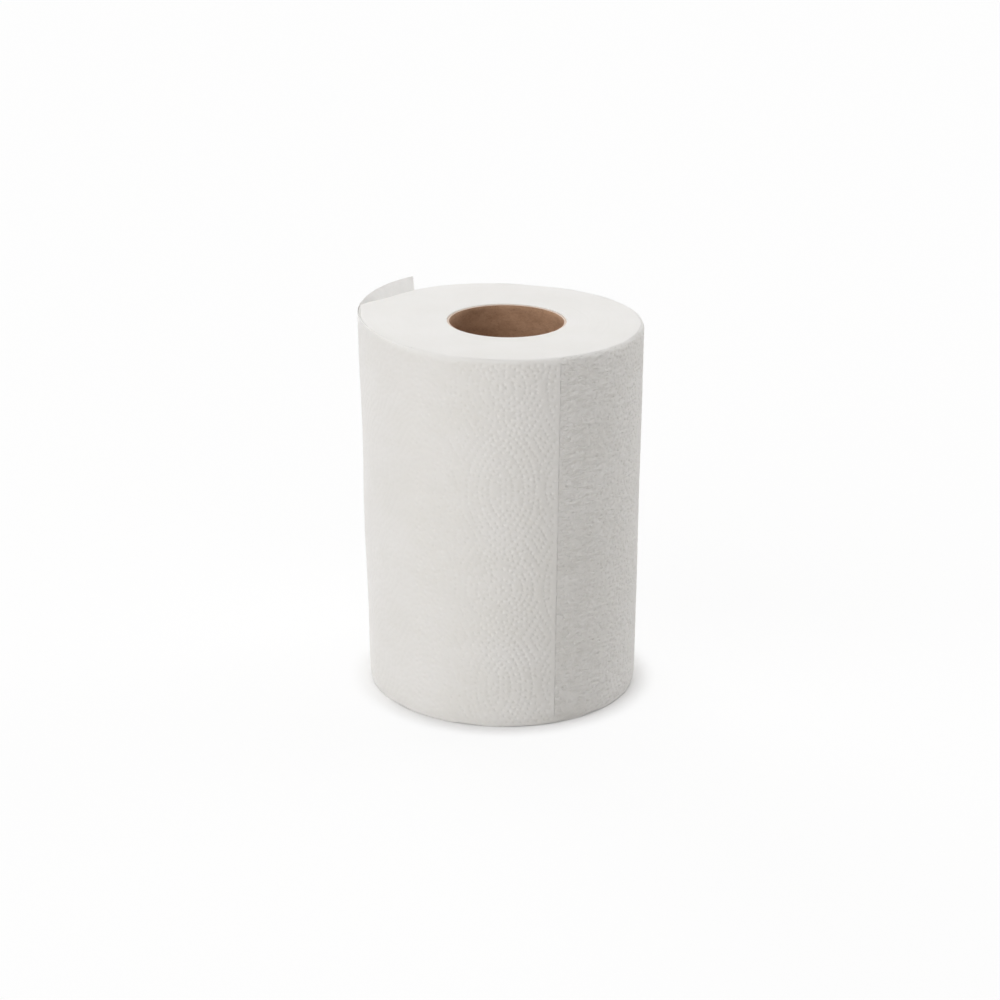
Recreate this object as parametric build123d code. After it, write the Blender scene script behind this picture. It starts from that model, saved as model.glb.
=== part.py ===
from build123d import *
import os
from math import degrees, pi

# Paper towel roll standing on end. A perforated two-ply web is wound on a cardboard tube.
# The last sheet has come loose at the front left and stands off the roll towards the back.
# Millimetres, +Z up, origin on the tube's axis at the level of the lower end, front towards -Y.

# Roll
roll_height = 200.0
roll_diameter = 144.0

# Cardboard tube
core_bore = 60.0
core_wall = 1.2
core_recess = 0.4  # how far the tube's upper end lies below the roll's; the lower ends are level
glue_gap = 0.05  # glue line between the tube and the first turn

# Turns, drawn on both ends as a spiral groove. Each one stands for several thicknesses of the web.
turn_pitch = 5.2
groove_width = 0.8
groove_depth = 0.6
inner_band = 2.0  # tight turns between the tube and the start of the groove
outer_band = 1.5  # tight turns outside the end of the groove

# Loose tail of the last sheet
tail_thickness = 0.6
tail_parting = 0.2  # gap where the tail leaves the turn under it
tail_length = 153.0
tail_root_angle = -133.0  # where the tail leaves the roll, in degrees from +X
tail_lift_upper = 24.0  # how much wider than the roll the tail's arc is at the upper end
tail_lift_lower = 5.0

# Perforations between the sheets
sheet_length = 235.0
slit_length = 7.0
slit_tie = 2.0  # uncut paper between two slits
slit_width = 0.4
slit_depth = 0.5

roll_radius = roll_diameter / 2
core_radius = core_bore / 2 + core_wall
core_length = roll_height - core_recess
wound_bore = core_radius + glue_gap
web_step = tail_thickness + tail_parting
root_line = Vector(1, 0, 0).rotate(Axis.Z, tail_root_angle)
UPRIGHT = (Align.CENTER, Align.CENTER, Align.MIN)
HALF_TURN = 180


def spiral(start_radius, pitch, half_turns):
    """Semicircles that widen clockwise from the root line by half the pitch each."""
    radii = [start_radius + pitch * n / 2 for n in range(half_turns + 1)]
    points = [root_line * radius * (-1) ** n for n, radius in enumerate(radii)]
    arcs = []
    for start, end in zip(points, points[1:]):
        arm = (end - start) * 0.5
        middle = start + arm + Vector(-arm.Y, arm.X, 0)
        arcs.append(ThreePointArc(start, middle, end))
    return arcs


def groove_half_turn(radius, side, end_level, inward):
    """V groove over half a turn, from the root line's given side, in the end at end_level."""
    outward = root_line * side
    bottom = outward * radius + Vector(0, 0, end_level + inward * groove_depth)
    # The section reaches as far past the end as into it, so the groove is groove_width wide at the end
    past_end = Vector(0, 0, end_level - inward * groove_depth)
    inner_lip = outward * (radius - groove_width) + past_end
    outer_lip = outward * (radius + groove_width) + past_end
    section = Face(Wire.make_polygon([bottom, inner_lip, outer_lip]))
    clockwise_axis = Axis(outward * -turn_pitch / 4, (0, 0, -1))
    return revolve(section, clockwise_axis, HALF_TURN)


def turn_grooves():
    """Grooves that draw the turns on both ends, from the inner band to the outer band."""
    start = wound_bore + inner_band
    end = roll_radius - web_step - outer_band
    grooves = []
    for n in range(int((end - start) / (turn_pitch / 2))):
        radius = start + n * turn_pitch / 2
        grooves.append(groove_half_turn(radius, (-1) ** n, roll_height, -1))
        grooves.append(groove_half_turn(radius, (-1) ** n, 0, 1))
    return grooves


def wound_turns():
    """Roll without its tail. The last turn ends in a step on the root line, where the tail joins it."""
    outline = spiral(roll_radius - web_step, web_step, 2)
    step = Line(outline[-1] @ 1, outline[0] @ 0)
    body = extrude(Face(Wire([*outline, step])), roll_height, dir=(0, 0, 1))
    bore = Cylinder(wound_bore, roll_height, align=UPRIGHT)
    return body - bore - turn_grooves()


def tail_end(lift, level):
    """Point where the tail's outside ends at one level, with the tail bent to an arc of the roll plus lift."""
    turned = -degrees(tail_length / (roll_radius + lift))
    centre = root_line * -lift + Vector(0, 0, level)
    return centre + root_line.rotate(Axis.Z, turned) * (roll_radius + lift)


def loose_tail():
    """Free part of the last sheet: a cone's side, because it stands off more at the upper end."""
    axis_foot = root_line * -tail_lift_lower
    axis_head = root_line * -tail_lift_upper + Vector(0, 0, roll_height)
    bend_axis = Axis(axis_foot, axis_foot - axis_head)
    # The section runs past both ends of the roll, because the bent sheet is cut level afterwards
    overrun = roll_radius
    inside = root_line * (roll_radius - tail_thickness)
    outside = root_line * roll_radius
    lower = Vector(0, 0, -overrun)
    upper = Vector(0, 0, roll_height + overrun)
    section = Face(Wire.make_polygon([inside + lower, outside + lower, outside + upper, inside + upper]))
    sheet = revolve(section, bend_axis, HALF_TURN)
    span = 4 * (roll_radius + tail_lift_upper)
    level_sheet = sheet & Box(span, span, roll_height, align=UPRIGHT)
    lower_end = tail_end(tail_lift_lower, 0)
    upper_end = tail_end(tail_lift_upper, roll_height)
    edge = upper_end - lower_end
    outward = (lower_end + upper_end - axis_foot - axis_head) * 0.5
    cut = Plane(lower_end, x_dir=edge, z_dir=edge.cross(outward))
    return split(level_sheet, cut, keep=Keep.TOP)


def perforation(web_distance):
    """Row of slits across the web at a distance along it from the end of the tail."""
    turned = degrees((web_distance - tail_length) / roll_radius)
    surface_radius = roll_radius - web_step * turned / 360
    slit_pitch = slit_length + slit_tie
    count = int((roll_height - slit_tie) / slit_pitch)
    lowest = (roll_height - (count - 1) * slit_pitch) / 2
    slit = Box(2 * slit_depth, slit_width, slit_length)
    row = []
    for n in range(count):
        place = Rot(0, 0, tail_root_angle + turned) * Pos(surface_radius, 0, lowest + n * slit_pitch)
        row.append(place * slit)
    return row


def towel_roll():
    """Wound web with its loose tail and the perforations that show on the roll."""
    towel = wound_turns() + loose_tail()
    last_visible = tail_length + pi * roll_diameter
    web_distance = sheet_length
    while web_distance < last_visible:
        if web_distance > tail_length + slit_width:
            towel = towel - perforation(web_distance)
        web_distance += sheet_length
    return towel


def core_tube():
    """Cardboard tube with square cut ends."""
    outside = Cylinder(core_radius, core_length, align=UPRIGHT)
    inside = Cylinder(core_bore / 2, core_length, align=UPRIGHT)
    return outside - inside


os.makedirs("parts", exist_ok=True)
nodes = {"core_tube": core_tube(), "towel_roll": towel_roll()}
for name, shape in nodes.items():
    export_step(shape, f"parts/{name}.step")
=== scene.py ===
"""Paper towel roll on a pale studio floor: embossed sheets, wound turns, loose tail and cardboard core.

Lengths are in millimetres until a mesh is written, and the front of the roll faces -Y.
"""

from __future__ import annotations

import logging
import math
from collections.abc import Iterator
from dataclasses import dataclass
from enum import Enum

import bpy
import numpy as np
from mathutils import Matrix, Vector, kdtree
from mathutils.geometry import delaunay_2d_cdt

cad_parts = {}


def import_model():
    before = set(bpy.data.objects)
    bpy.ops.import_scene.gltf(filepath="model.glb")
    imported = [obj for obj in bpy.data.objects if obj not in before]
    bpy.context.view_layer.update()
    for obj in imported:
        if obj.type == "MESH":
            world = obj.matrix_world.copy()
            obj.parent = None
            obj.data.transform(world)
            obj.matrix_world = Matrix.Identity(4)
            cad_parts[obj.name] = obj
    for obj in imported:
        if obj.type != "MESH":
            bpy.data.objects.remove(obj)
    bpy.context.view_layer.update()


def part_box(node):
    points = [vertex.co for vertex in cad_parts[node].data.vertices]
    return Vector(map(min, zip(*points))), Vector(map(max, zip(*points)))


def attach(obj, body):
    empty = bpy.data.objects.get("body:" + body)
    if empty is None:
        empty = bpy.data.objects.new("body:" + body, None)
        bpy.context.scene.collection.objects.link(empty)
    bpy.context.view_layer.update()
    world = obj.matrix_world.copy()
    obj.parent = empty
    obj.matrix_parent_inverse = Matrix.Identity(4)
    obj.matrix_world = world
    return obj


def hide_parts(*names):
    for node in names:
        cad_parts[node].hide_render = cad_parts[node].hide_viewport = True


LOG = logging.getLogger("towel_roll")
MM = 0.001
PHOTO_WIDTH = 1000
BAKE_MAP = "OFBake"
MAP_MARGIN = 0.01
FULL_TURN = 2.0 * math.pi
ROLL_RADIUS = 72.0
CORE_WALL = 1.2
GLUE_GAP = 0.05
Waves = tuple[tuple[float, float, float], ...]


def smooth_step(value: np.ndarray, low: float, high: float) -> np.ndarray:
    """Ease from 0 at low to 1 at high.

    Args:
        value: Numbers to ease.
        low: Value at and below which the result is 0.
        high: Value at and above which the result is 1.

    Returns:
        Eased numbers, from 0 to 1.
    """
    share = np.clip((value - low) / (high - low), 0.0, 1.0)
    return share * share * (3.0 - 2.0 * share)


def ripple(along: np.ndarray, across: np.ndarray, waves: Waves) -> np.ndarray:
    """Sum of slanted sine waves, for soft unevenness.

    Args:
        along: First coordinate, in millimetres.
        across: Second coordinate, in millimetres.
        waves: Wavelength along, wavelength across and phase of each wave.

    Returns:
        Numbers from about -1 to 1.
    """
    total = np.zeros(np.broadcast(along, across).shape)
    for along_length, across_length, phase in waves:
        total += np.sin(FULL_TURN * (along / along_length + across / across_length) + phase)
    return total / len(waves)


def around_axis(reach: np.ndarray | float, angle: np.ndarray, level: np.ndarray | float) -> np.ndarray:
    """Places at a distance from the roll's axis and an angle around it.

    Args:
        reach: Distance from the axis.
        angle: Angle from +X, counter-clockwise from above.
        level: Height above the floor.

    Returns:
        Places in millimetres, one row each.
    """
    across = reach * np.cos(angle)
    back = reach * np.sin(angle)
    return np.stack([across, back, np.broadcast_to(level, across.shape)], axis=-1)


def link(made: bpy.types.Object) -> bpy.types.Object:
    """Put a new object into the scene."""
    bpy.context.scene.collection.objects.link(made)
    return made


class MeshMaker:
    """Collects points and triangles with map corners, and writes them as one mesh object."""

    def __init__(self, name: str) -> None:
        """Start an empty mesh.

        Args:
            name: Name of the piece.
        """
        self.name = name
        self._points: list[np.ndarray] = []
        self._triangles: list[np.ndarray] = []
        self._corners: list[np.ndarray] = []
        self._materials: list[np.ndarray] = []
        self._count = 0

    def add_points(self, points: np.ndarray) -> np.ndarray:
        """Add points and give their numbers.

        Args:
            points: Places in millimetres, one row each.

        Returns:
            Number of each point in the mesh.
        """
        first = self._count
        self._points.append(np.asarray(points, float).reshape(-1, 3))
        self._count += len(self._points[-1])
        return np.arange(first, self._count)

    def add_triangles(self, triangles: np.ndarray, corners: np.ndarray, material: int = 0) -> None:
        """Add triangles with the map place of each corner.

        Args:
            triangles: Three point numbers in each row.
            corners: Map place of each corner, in the triangles' order.
            material: Number of the material slot.
        """
        self._triangles.append(np.asarray(triangles, int).reshape(-1, 3))
        self._corners.append(np.asarray(corners, float).reshape(-1, 3, 2))
        self._materials.append(np.full(len(self._triangles[-1]), material))

    def add_strip(
        self,
        lower: np.ndarray,
        upper: np.ndarray,
        lower_map: np.ndarray,
        upper_map: np.ndarray,
        material: int = 0,
        flip: bool = False,
    ) -> None:
        """Add a strip of quads between two rows of points, each cut into two triangles.

        Args:
            lower: Point numbers of the first row, with the outside on the left of the way it runs.
            upper: Point numbers of the second row.
            lower_map: Map places of the first row.
            upper_map: Map places of the second row.
            material: Number of the material slot.
            flip: Whether the strip looks the other way.
        """
        if flip:
            lower, upper, lower_map, upper_map = upper, lower, upper_map, lower_map
        first = np.stack([lower[:-1], lower[1:], upper[1:]], axis=1)
        second = np.stack([lower[:-1], upper[1:], upper[:-1]], axis=1)
        first_map = np.stack([lower_map[:-1], lower_map[1:], upper_map[1:]], axis=1)
        second_map = np.stack([lower_map[:-1], upper_map[1:], upper_map[:-1]], axis=1)
        self.add_triangles(first, first_map, material)
        self.add_triangles(second, second_map, material)

    def build(self, materials: list[bpy.types.Material], sharp_degrees: float) -> bpy.types.Object:
        """Write the mesh and link its object.

        Args:
            materials: Materials in the order of their slots.
            sharp_degrees: Edges that turn by more than this stay sharp.

        Returns:
            The new object, in metres.
        """
        points = np.vstack(self._points) * MM
        triangles = np.vstack(self._triangles)
        corners = np.vstack(self._corners)
        mesh = bpy.data.meshes.new(self.name)
        mesh.vertices.add(len(points))
        mesh.vertices.foreach_set("co", points.astype(np.float32).ravel())
        mesh.loops.add(triangles.size)
        mesh.loops.foreach_set("vertex_index", triangles.astype(np.int32).ravel())
        mesh.polygons.add(len(triangles))
        mesh.polygons.foreach_set("loop_start", np.arange(0, triangles.size, 3, dtype=np.int32))
        mesh.polygons.foreach_set("material_index", np.concatenate(self._materials).astype(np.int32))
        mesh.uv_layers.new(name=BAKE_MAP)
        mesh.update(calc_edges=True)
        mesh.validate()
        mesh.uv_layers[BAKE_MAP].uv.foreach_set("vector", corners.astype(np.float32).ravel())
        for material in materials:
            mesh.materials.append(material)
        mesh.polygons.foreach_set("use_smooth", np.ones(len(mesh.polygons), dtype=bool))
        mesh.set_sharp_from_angle(angle=math.radians(sharp_degrees))
        LOG.info("%s: %d points, %d triangles", self.name, len(points), len(triangles))
        return link(bpy.data.objects.new(self.name, mesh))


@dataclass(frozen=True)
class MapArea:
    """Rectangle of the unit map that a flat stretch of a piece fills."""

    low: tuple[float, float]
    size: tuple[float, float]

    def place(self, across: np.ndarray, up: np.ndarray) -> np.ndarray:
        """Map places of shares of the rectangle.

        Args:
            across: Shares of its width, from 0 to 1.
            up: Shares of its height, from 0 to 1.

        Returns:
            Map places, one row each.
        """
        return np.stack([self.low[0] + across * self.size[0], self.low[1] + up * self.size[1]], axis=-1)

    def row(self, across: np.ndarray, up: float) -> np.ndarray:
        """Map places of shares of the width, at one share of the height."""
        return self.place(across, np.full_like(across, up))


def map_band(low: float, height: float) -> MapArea:
    """Rectangle over the whole width of the unit map, from a height up."""
    return MapArea((MAP_MARGIN, low), (1.0 - 2 * MAP_MARGIN, height))


@dataclass(frozen=True)
class Web:
    """The towel's web: how far it is wound, and where each point of the flat web lies on the roll.

    A place on the web is its distance from the free end of the tail and its height above the floor.
    """

    height: float
    radius: float
    tail_length: float = 153.0
    root_angle: float = math.radians(-133.0)
    lift_upper: float = 24.0
    lift_lower: float = 5.0
    tail_press: float = 1.2
    step: float = 0.8
    free_thickness: float = 0.09
    wound_thickness: float = 0.95
    sheet_length: float = 235.0
    under_run: float = 36.0
    kink_reach_upper: float = 5.5
    kink_reach_lower: float = 4.0
    bulge_upper: float = 6.0
    bulge_lower: float = 0.8
    bulge_lean: float = 5.0
    lean_gap: float = 0.1
    rim_depth: float = 2.8
    rim_tuck: float = 1.0
    rim_drop: float = 0.5
    rim_slope: float = 0.35
    foot_depth: float = 7.0
    foot_tuck: float = 1.0
    foot_wave: float = 0.6
    top_wave: float = 0.1
    tight_wave: float = 0.12
    loose_wave: float = 0.4
    thin_length: float = 55.0
    wound_ease: float = 8.0
    rim_ease: tuple[float, float] = (60.0, 20.0)
    edge_ease: tuple[float, float] = (30.0, 10.0)
    loose_angles: tuple[float, float] = (math.radians(205.0), math.radians(262.0))
    lean_angles: tuple[float, float] = (math.radians(278.0), math.radians(296.0))
    soft_waves: Waves = ((97.0, 310.0, 0.4), (61.0, -140.0, 2.1), (173.0, 83.0, 4.0))
    foot_waves: Waves = ((23.0, 1.0, 0.0), (37.0, 1.0, 1.3))
    top_waves: Waves = ((31.0, 1.0, 2.0), (53.0, 1.0, 0.3))

    @property
    def root(self) -> np.ndarray:
        """Direction of the line where the tail leaves the roll."""
        return np.array([math.cos(self.root_angle), math.sin(self.root_angle)])

    @property
    def end(self) -> float:
        """Distance along the web where it runs out of sight under its own last turn."""
        return self.tail_length + FULL_TURN * self.radius + self.under_run

    def tight_radius(self, turned: np.ndarray) -> np.ndarray:
        """Outside radius of the wound web.

        Args:
            turned: Angle from the root line, counter-clockwise from above.

        Returns:
            Radius in millimetres.
        """
        return self.radius - self.step * turned / FULL_TURN

    def thickness(self, distance: np.ndarray) -> np.ndarray:
        """Depth from the outer face to the inner face, which lies on the turns below where the web is wound.

        Args:
            distance: Distance from the free end.

        Returns:
            Depth in millimetres.
        """
        wound = smooth_step(distance, self.thin_length, self.tail_length + self.wound_ease)
        return self.free_thickness + (self.wound_thickness - self.free_thickness) * wound

    def lift(self, level: np.ndarray) -> np.ndarray:
        """How much wider than the roll the tail's arc is at a height."""
        return self.lift_lower + (self.lift_upper - self.lift_lower) * level / self.height

    def press(self, before: np.ndarray) -> np.ndarray:
        """How far inside its arc the tail lies, at a length back from the root line."""
        return self.tail_press * np.sin(math.pi * np.clip(before / self.tail_length, 0.0, 1.0))

    def bulge(self, turned: np.ndarray, level: np.ndarray) -> np.ndarray:
        """How far the turns under the tail have come loose, until they lean against it.

        Args:
            turned: Angle from the root line, counter-clockwise from above.
            level: Height above the floor.

        Returns:
            Stand-off in millimetres.
        """
        turned = np.minimum(turned, FULL_TURN)
        share = level / self.height
        rise = smooth_step(turned, *self.loose_angles)
        free_reach = self.bulge_lower + (self.bulge_upper - self.bulge_lower) * share
        reach = free_reach * rise + self.bulge_lean * self.lean(turned) * share
        tail_reach, before = self._tail_above(turned, level)
        inside = tail_reach - self.press(before) - self.thickness(self.tail_length - before)
        room = inside - self.lean_gap - self.tight_radius(turned)
        return np.minimum(reach, np.clip(room, 0.0, None))

    def lean(self, turned: np.ndarray) -> np.ndarray:
        """Share to which the loose turns lean against the tail, near its root."""
        return smooth_step(turned, *self.lean_angles)

    def past_root(self, distance: np.ndarray, ease: tuple[float, float]) -> np.ndarray:
        """Ease from 0 to 1 over a length before the root line and one past it."""
        before, past = ease
        return smooth_step(distance, self.tail_length - before, self.tail_length + past)

    def _tail_above(self, turned: np.ndarray, level: np.ndarray) -> tuple[np.ndarray, np.ndarray]:
        """The tail over a place on the turns below it.

        Args:
            turned: Angle from the root line, counter-clockwise from above.
            level: Height above the floor.

        Returns:
            The tail's distance from the roll's axis, and its length back from the root line.
        """
        lift = self.lift(level)
        reach = np.sqrt((self.radius + lift) ** 2 - (lift * np.sin(turned)) ** 2) - lift * np.cos(turned)
        return reach, (FULL_TURN - turned) * (self.radius + reach) / 2.0

    def rim_hold(self, distance: np.ndarray, level: np.ndarray) -> np.ndarray:
        """Share of the tight turns' rounded rim that a place on the web has.

        Args:
            distance: Distance from the free end.
            level: Height above the floor.

        Returns:
            0 on the tail and on the turns that lean against it, and 1 on the tight turns.
        """
        tight = self.past_root(distance, self.rim_ease)
        turned = np.clip(distance - self.tail_length, 0.0, FULL_TURN * self.radius) / self.radius
        _reach, before = self._tail_above(turned, level)
        tail_tight = self.past_root(self.tail_length - before, self.rim_ease)
        return tight * (1.0 - self.lean(turned) * (1.0 - tail_tight))

    def slack(self, distance: np.ndarray, level: np.ndarray) -> np.ndarray:
        """How far the web stands off its smooth course: a fold at each perforation and a soft unevenness.

        Args:
            distance: Distance from the free end.
            level: Height above the floor.

        Returns:
            Stand-off in millimetres.
        """
        share = level / self.height
        reach = self.kink_reach_lower + (self.kink_reach_upper - self.kink_reach_lower) * share
        off = np.zeros(np.broadcast(distance, level).shape)
        for number in (1, 2):
            nearness = np.clip(reach - np.abs(distance - number * self.sheet_length), 0.0, None)
            off = off + nearness**2 / (2.0 * self.radius)
        soft = ripple(distance, level, self.soft_waves)
        loose = 1.0 - self.past_root(distance, self.rim_ease)
        turned = np.clip(distance - self.tail_length, 0.0, None) / self.radius
        return off + self.bulge(turned, level) + soft * (self.tight_wave + self.loose_wave * loose)

    def edge_level(self, distance: np.ndarray, level: np.ndarray) -> np.ndarray:
        """Height of a web point once the cut edges are as uneven as on the roll.

        Args:
            distance: Distance from the free end.
            level: Height on the flat web, from 0 to the web's width.

        Returns:
            Height above the floor.
        """
        tight = self.past_root(distance, self.edge_ease)
        no_level = np.zeros_like(level)
        foot = self.foot_wave * (0.5 + 0.5 * ripple(distance, no_level, self.foot_waves))
        top_ripple = self.top_wave * ripple(distance, no_level, self.top_waves)
        top = self.height - self.rim_drop * tight + top_ripple * tight
        return foot + (top - foot) * level / self.height

    def place(self, distance: np.ndarray, level: np.ndarray, out: np.ndarray) -> np.ndarray:
        """Places in space of points of the web.

        Args:
            distance: Distance from the free end.
            level: Height on the flat web.
            out: Distance out from the web's outer face.

        Returns:
            Places in millimetres, one row each.
        """
        lift = self.lift(level)
        before = np.clip(self.tail_length - distance, 0.0, None)
        turned = np.clip(distance - self.tail_length, 0.0, None) / self.radius
        on_tail = before > 0.0
        tail_radius = self.radius + lift
        arc_radius = np.where(on_tail, tail_radius, self.tight_radius(turned))
        angle = self.root_angle + np.where(on_tail, -before / tail_radius, turned)
        shift = np.where(on_tail, -lift, 0.0)
        near_rim = np.clip(1.0 - (self.height - level) / self.rim_depth, 0.0, None) ** 2
        near_foot = np.clip(1.0 - level / self.foot_depth, 0.0, None) ** 2
        hold = self.rim_hold(distance, level)
        tuck = self.rim_tuck * near_rim * hold + self.foot_tuck * near_foot
        reach = arc_radius + out + self.slack(distance, level) - self.press(before) - tuck
        root = self.root
        x = shift * root[0] + reach * np.cos(angle)
        y = shift * root[1] + reach * np.sin(angle)
        z = self.edge_level(distance, level) - self.rim_slope * out * near_rim * hold
        return np.stack([x, y, z], axis=-1)


class Figure(Enum):
    """Figures that the pressed dots draw."""

    ROUND = "rings"
    OVAL = "pointed ovals"
    DIAMOND = "diamonds"


@dataclass(frozen=True)
class Emboss:
    """Pressed dots on the web: rings, pointed ovals and diamonds in a repeating lattice."""

    column_pitch: float = 40.5
    row_pitch: float = 54.4
    first_column: float = 205.3
    first_row: float = 23.0
    dot_pitch: float = 2.9
    dot_radius: float = 1.3
    depth: float = 0.30
    ring_radii: tuple[float, ...] = (6.3, 11.8, 17.5)
    oval_widths: tuple[float, ...] = (6.3, 11.8, 17.5)
    oval_heights: tuple[float, ...] = (15.0, 24.5, 33.0)
    diamond_sizes: tuple[tuple[float, float], ...] = ((8.5, 14.0), (3.6, 6.5))
    least_gap: float = 2.3
    infill_gap: float = 2.65
    infill_pitch: float = 1.3
    edge_margin: float = 0.2

    def _ring(self, radius: float) -> np.ndarray:
        """Set dots along a ring about the origin.

        Args:
            radius: Radius of the ring.

        Returns:
            Place of each dot.
        """
        count = max(4, round(FULL_TURN * radius / self.dot_pitch))
        angle = np.arange(count) * FULL_TURN / count
        return np.stack([radius * np.cos(angle), radius * np.sin(angle)], axis=1)

    def _oval(self, half_width: float, half_height: float) -> np.ndarray:
        """Set dots along a pointed oval about the origin, its two sides being arcs.

        Args:
            half_width: Half of its width.
            half_height: Half of its height.

        Returns:
            Place of each dot.
        """
        bend = (half_width**2 + half_height**2) / (2.0 * half_width)
        half_angle = math.asin(half_height / bend)
        count = max(4, round(2.0 * half_angle * bend / self.dot_pitch))
        angle = (np.arange(count + 1) / count * 2.0 - 1.0) * half_angle
        x = bend * np.cos(angle) - (bend - half_width)
        y = bend * np.sin(angle)
        return np.vstack([np.stack([x, y], axis=1), np.stack([-x[1:-1], y[1:-1]], axis=1)])

    def _diamond(self, half_width: float, half_height: float) -> np.ndarray:
        """Set dots along a diamond about the origin.

        Args:
            half_width: Half of its width.
            half_height: Half of its height.

        Returns:
            Place of each dot.
        """
        side = math.hypot(half_width, half_height)
        count = max(2, round(side / self.dot_pitch))
        share = np.arange(count) / count
        corners = ((half_width, 0.0), (0.0, half_height), (-half_width, 0.0), (0.0, -half_height))
        sides = []
        for number, corner in enumerate(corners):
            start = np.array(corner)
            finish = np.array(corners[(number + 1) % len(corners)])
            sides.append(start + (finish - start) * share[:, None])
        return np.vstack(sides)

    def _line(self, count: int) -> np.ndarray:
        """Dots of an upright line about the origin."""
        return np.stack([np.zeros(count), (np.arange(count) - (count - 1) / 2.0) * self.dot_pitch], axis=1)

    def _motifs(self) -> dict[Figure, np.ndarray]:
        """Set the dots of each figure about its own centre.

        Returns:
            Places of the dots, by figure.
        """
        small_ring = self._ring(self.ring_radii[0] / 3.0)
        round_figure = np.vstack([small_ring, *(self._ring(radius) for radius in self.ring_radii)])
        ovals = [self._oval(width, height) for width, height in zip(self.oval_widths, self.oval_heights)]
        oval_figure = np.vstack([self._line(5), *ovals])
        diamond_figure = np.vstack([self._line(1), *(self._diamond(*size) for size in self.diamond_sizes)])
        return {Figure.ROUND: round_figure, Figure.OVAL: oval_figure, Figure.DIAMOND: diamond_figure}

    def dots(self, start: float, end: float, height: float) -> np.ndarray:
        """Dot centres on a stretch of the web.

        Args:
            start: Distance from the free end where the stretch begins.
            end: Distance where it ends.
            height: Width of the web.

        Returns:
            Distance and height of each dot, none nearer to another than least_gap or to an edge than a dot.
        """
        motifs = self._motifs()
        found = []
        first = math.floor((start - self.first_column) / self.column_pitch) - 1
        last = math.ceil((end - self.first_column) / self.column_pitch) + 1
        rows = math.ceil(height / self.row_pitch) + 1
        for column in range(first, last + 1):
            for row in range(-1, rows + 1):
                middle = self.first_column + column * self.column_pitch
                centre = np.array([middle, self.first_row + row * self.row_pitch])
                figure = Figure.OVAL if (column + row) % 2 == 0 else Figure.ROUND
                found.append(motifs[figure] + centre)
                half_cell = np.array([self.column_pitch, self.row_pitch]) / 2.0
                found.append(motifs[Figure.DIAMOND] + centre + half_cell)
        dots = np.vstack(found)
        columns = np.arange(start, end, self.infill_pitch)
        levels = np.arange(0.0, height, self.infill_pitch)
        across, up = np.meshgrid(columns, levels, indexing="ij")
        infill = np.stack([across.ravel(), up.ravel()], axis=1)
        return self._spaced(self._inside(dots, start, end, height), self._inside(infill, start, end, height))

    def _inside(self, dots: np.ndarray, start: float, end: float, height: float) -> np.ndarray:
        """Choose the dots that lie a dot's width inside a stretch of the web.

        Args:
            dots: Dots to choose from.
            start: Distance from the free end where the stretch begins.
            end: Distance where it ends.
            height: Width of the web.

        Returns:
            The chosen dots.
        """
        margin = self.dot_radius + self.edge_margin
        inside = (dots[:, 0] > start + margin) & (dots[:, 0] < end - margin)
        inside &= (dots[:, 1] > margin) & (dots[:, 1] < height - margin)
        return dots[inside]

    def _spaced(self, dots: np.ndarray, infill: np.ndarray) -> np.ndarray:
        """Choose dots that keep clear of those before them.

        Args:
            dots: Dots of the figures.
            infill: Dots that may take the room which the figures leave.

        Returns:
            The chosen dots.
        """
        cell_size = self.infill_gap
        kept: dict[tuple[int, int], list[tuple[float, float]]] = {}
        chosen = []
        for group, gap in ((dots, self.least_gap), (infill, self.infill_gap)):
            for x, y in group.tolist():
                column = int(x // cell_size)
                row = int(y // cell_size)
                cells = [(column + right, row + up) for right in (-1, 0, 1) for up in (-1, 0, 1)]
                near = [other for cell in cells for other in kept.get(cell, [])]
                if all(math.hypot(x - other_x, y - other_y) >= gap for other_x, other_y in near):
                    kept.setdefault((column, row), []).append((x, y))
                    chosen.append((x, y))
        return np.array(chosen)

    def press(self, distances: np.ndarray) -> np.ndarray:
        """Depth of the paper at distances from the nearest dot, whose cup is rounded all over.

        Args:
            distances: Distance to the nearest dot's centre.

        Returns:
            Height of the surface, at most 0.
        """
        return -self.depth * (1.0 - smooth_step(distances, 0.0, self.dot_radius))


class SheetEdge(Enum):
    """How a sheet's upright edge ends."""

    TORN = "torn along a perforation"
    PERFORATED = "still tied to the next sheet"
    HIDDEN = "covered by the turn above"


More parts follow.
